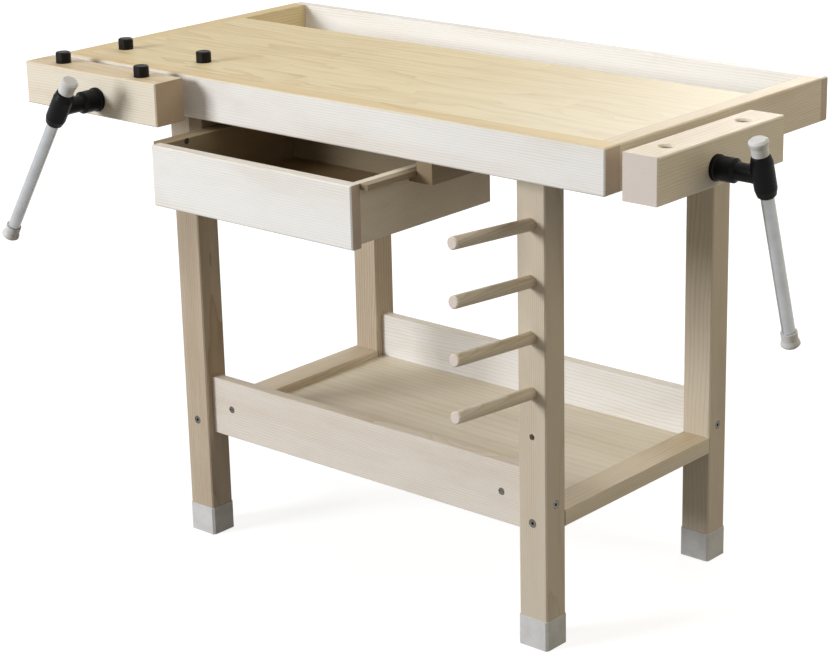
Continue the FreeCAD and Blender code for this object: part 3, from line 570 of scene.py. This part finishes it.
for name, axis in (("front", (0.0, 1.0, 0.0)), ("end", (-1.0, 0.0, 0.0))):
    low, high = (np.array(corner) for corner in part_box(name + "_vise_screw"))
    length = float(np.abs((high - low) @ np.array(axis)))
    outer = (low + high) / 2 - np.array(axis) * length / 2
    shape = turned(*vise_screw(length), outer, axis, (0.0, 0.0, 1.0))
    make_piece(name + "_threaded_screw", [shape], steel, name + "_screw",
               name + "_vise_screw")

# %% [markdown]
# ## The legs' bolts
# Knock-down bolts hold each leg to a shelf board and to two rails. Their round heads lie
# flush with the leg and have a socket for a 5 mm hexagonal key. A hexagon's radius is its
# half width over the cosine of the angle to the nearest flat.

# %% Turn the bolts
head_r, head_length, shank_r, bolt_past_leg = 0.0070, 0.005, 0.004, 0.060
head_chamfer, point_chamfer = 0.0004, 0.001
key_width, socket_depth, bolt_points = 0.005, 0.003, 36
angle = np.arange(bolt_points) * 2 * np.pi / bolt_points
socket_radius = key_width / 2 / np.cos((angle + np.pi / 6) % (np.pi / 3) - np.pi / 6)


def bolt(seat, axis, length):
    """One bolt from its socket's floor out to its face and along to its tip."""
    profile = np.array([
        (0.0, head_r - head_chamfer), (head_chamfer, head_r), (head_length, head_r),
        (head_length, shank_r), (length - point_chamfer, shank_r),
        (length, shank_r - point_chamfer)])
    distance = np.concatenate([[socket_depth, 0.0], profile[:, 0]])
    radius = np.concatenate([[socket_radius, socket_radius],
                             np.repeat(profile[:, 1:], bolt_points, axis=1)])
    return turned(distance, radius, seat, axis, (0.0, 0.0, 1.0))


def middle_z(name):
    """The height of a node's middle."""
    low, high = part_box(name)
    return (low[2] + high[2]) / 2


def legs():
    """Each leg's end and side of the bench, its box, and its directions inward."""
    for side, inward_x in (("left", 1.0), ("right", -1.0)):
        for end, inward_y in (("front", 1.0), ("back", -1.0)):
            low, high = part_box(end + "_" + side + "_leg")
            yield end, side, low, high, inward_x, inward_y


bolts = []
for end, side, low, high, inward_x, inward_y in legs():
    x, y = (low[0] + high[0]) / 2, (low[1] + high[1]) / 2
    face_x, face_y = (low if inward_x > 0 else high)[0], (low if inward_y > 0 else high)[1]
    seat = (face_x, y, middle_z(end + "_shelf_board"))
    bolts.append(bolt(seat, (inward_x, 0.0, 0.0), high[0] - low[0] + bolt_past_leg))
    for rail in (side + "_lower_rail", "upper_rails"):
        seat = (x, face_y, middle_z(rail))
        bolts.append(bolt(seat, (0.0, inward_y, 0.0), high[1] - low[1] + bolt_past_leg))
make_piece("socket_bolts", bolts, zinc, "bench", "frame_bolts")

# %% [markdown]
# ## The bolts' nuts
# Each bolt ends in a barrel nut, a round bar across its way with a threaded hole. It is let
# into a shelf board's outer side or a rail's underside. Its face is flush with the wood and
# has a slot, so that a screwdriver can turn the hole towards the bolt. A slot seen from its
# middle is another radius that changes with the angle.

# %% Turn the barrel nuts
nut_r, nut_length, nut_chamfer, nut_past_leg = 0.0060, 0.0180, 0.0003, 0.046
slot_width, slot_depth, slot_rim, nut_points = 0.0014, 0.0015, 0.0004, 72
angle = np.arange(nut_points) * 2 * np.pi / nut_points
sine = np.maximum(np.abs(np.sin(angle)), 0.01)     # never zero, even along the slot
slot_radius = np.minimum(nut_r - slot_rim, slot_width / 2 / sine)


def barrel_nut(mouth, axis, side):
    """One nut from its slot's floor out to its face and along to its other end."""
    profile = np.array([
        (0.0, nut_r - nut_chamfer), (nut_chamfer, nut_r), (nut_length - nut_chamfer, nut_r),
        (nut_length, nut_r - nut_chamfer)])
    distance = np.concatenate([[slot_depth, 0.0], profile[:, 0]])
    radius = np.concatenate([[slot_radius, slot_radius],
                             np.repeat(profile[:, 1:], nut_points, axis=1)])
    return turned(distance, radius, mouth, axis, side)


nuts = []
for end, side, low, high, inward_x, inward_y in legs():
    x = (low[0] + high[0]) / 2
    past_x = (high[0] if inward_x > 0 else low[0]) + inward_x * nut_past_leg
    past_y = (high[1] if inward_y > 0 else low[1]) + inward_y * nut_past_leg
    board_low, board_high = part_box(end + "_shelf_board")
    face_y = (board_low if inward_y > 0 else board_high)[1]
    mouth = (past_x, face_y, middle_z(end + "_shelf_board"))
    nuts.append(barrel_nut(mouth, (0.0, inward_y, 0.0), (1.0, 0.0, 0.0)))
    for rail in (side + "_lower_rail", "upper_rails"):
        mouth = (x, past_y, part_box(rail)[0][2])
        nuts.append(barrel_nut(mouth, (0.0, 0.0, 1.0), (0.0, 1.0, 0.0)))
make_piece("slotted_nuts", nuts, zinc, "bench", "barrel_nuts")

# %% [markdown]
# ## Floor and light
# The bench stands on a plain white floor in a bright room. One large lamp hangs above the
# top, and a far one stands at the front left, so that its light also reaches under the
# bench. Weak ones at the right and behind, and the room's own light, fill the other sides.
# The camera sees a white room, while the light that the floor and the room give back to
# the bench is dimmer and a little warm.

# %% Lay the floor
white = (1.0, 1.0, 1.0, 1.0)
half = 30.0
near_edge, far_edge = 1.0, 3.5          # metres from the middle of the bench
near_glow, far_glow = 0.83, 0.98        # what the floor adds, so that it meets the white room
seen_floor, lit_floor = (0.34, 0.34, 0.34, 1.0), (0.20, 0.185, 0.16, 1.0)


def seen_straight(tree):
    """1 where a ray comes from the camera, a mirror or a clear piece, and 0 elsewhere."""
    path = tree.put("LightPath").outputs
    seen = tree.calc("MAXIMUM", path["Is Camera Ray"], path["Is Glossy Ray"])
    return tree.calc("MAXIMUM", seen, path["Is Transmission Ray"])


floor_mesh = bpy.data.meshes.new("floor")
floor_mesh.from_pydata([(-half, -half, 0), (half, -half, 0), (half, half, 0), (-half, half, 0)],
                       [], [(0, 1, 2, 3)])
floor = bpy.data.objects.new("floor", floor_mesh)
bpy.context.scene.collection.objects.link(floor)
floor_material, tree, shader = start_material("white_floor")
seen = seen_straight(tree)
tree.fill(shader.inputs["Base Color"], tree.blend(seen, lit_floor, seen_floor))
away = tree.vector("LENGTH", tree.put("TexCoord").outputs["Object"])
glow = tree.ramp(away, near_edge, far_edge, near_glow, far_glow)
shader.inputs["Emission Color"].default_value = white
tree.fill(shader.inputs["Emission Strength"], tree.calc("MULTIPLY", seen, glow))
shader.inputs["Roughness"].default_value = 0.9
shader.inputs["Specular IOR Level"].default_value = 0.0
floor_mesh.materials.append(floor_material)
print("floor", 2 * half, "m wide")

# %% Light the room
world = bpy.data.worlds.new("room")
bpy.context.scene.world = world
world.use_nodes = True
world.node_tree.nodes.clear()
tree = Tree(world.node_tree)
window = (-0.42, -0.68, 0.60)     # the direction in which the room is brightest
bright_wall, dim_wall = (0.40, 0.39, 0.36, 1.0), (0.16, 0.138, 0.080, 1.0)
toward = tree.vector("DOT_PRODUCT", tree.put("TexCoord").outputs["Generated"], window)
walls = tree.blend(tree.ramp(toward, -0.55, 0.95), dim_wall, bright_wall)
seen = seen_straight(tree)
room = tree.put("Background", {"Color": tree.blend(seen, walls, white), "Strength": 1.0})
tree.put("OutputWorld", {"Surface": room.outputs[0]})


def lamp(name, place, aim, size, power, colour):
    """A square area lamp at a place, turned towards a point."""
    data = bpy.data.lights.new(name, "AREA")
    data.size, data.energy, data.color = size, power, colour
    item = bpy.data.objects.new(name, data)
    item.location = place
    item.rotation_mode = "QUATERNION"
    item.rotation_quaternion = (Vector(aim) - Vector(place)).to_track_quat("-Z", "Y")
    bpy.context.scene.collection.objects.link(item)


lamp("top_lamp", (0.3, 0.3, 3.3), (0.1, 0.1, 0.8), 2.0, 23.0, (1.0, 1.0, 1.0))
lamp("left_lamp", (-3.5, -6.2, 2.8), (0.0, 0.0, 0.5), 2.2, 455.0, (0.945, 0.98, 1.0))
lamp("right_lamp", (2.3, 0.9, 1.7), (0.5, 0.1, 0.7), 1.2, 12.5, (1.0, 0.91, 0.66))
lamp("back_lamp", (-1.8, 5.0, 2.4), (0.0, 0.0, 0.6), 2.0, 80.0, (1.0, 0.98, 0.95))
bpy.context.scene.view_settings.view_transform = "Standard"
print("lamps", len(bpy.data.lights))
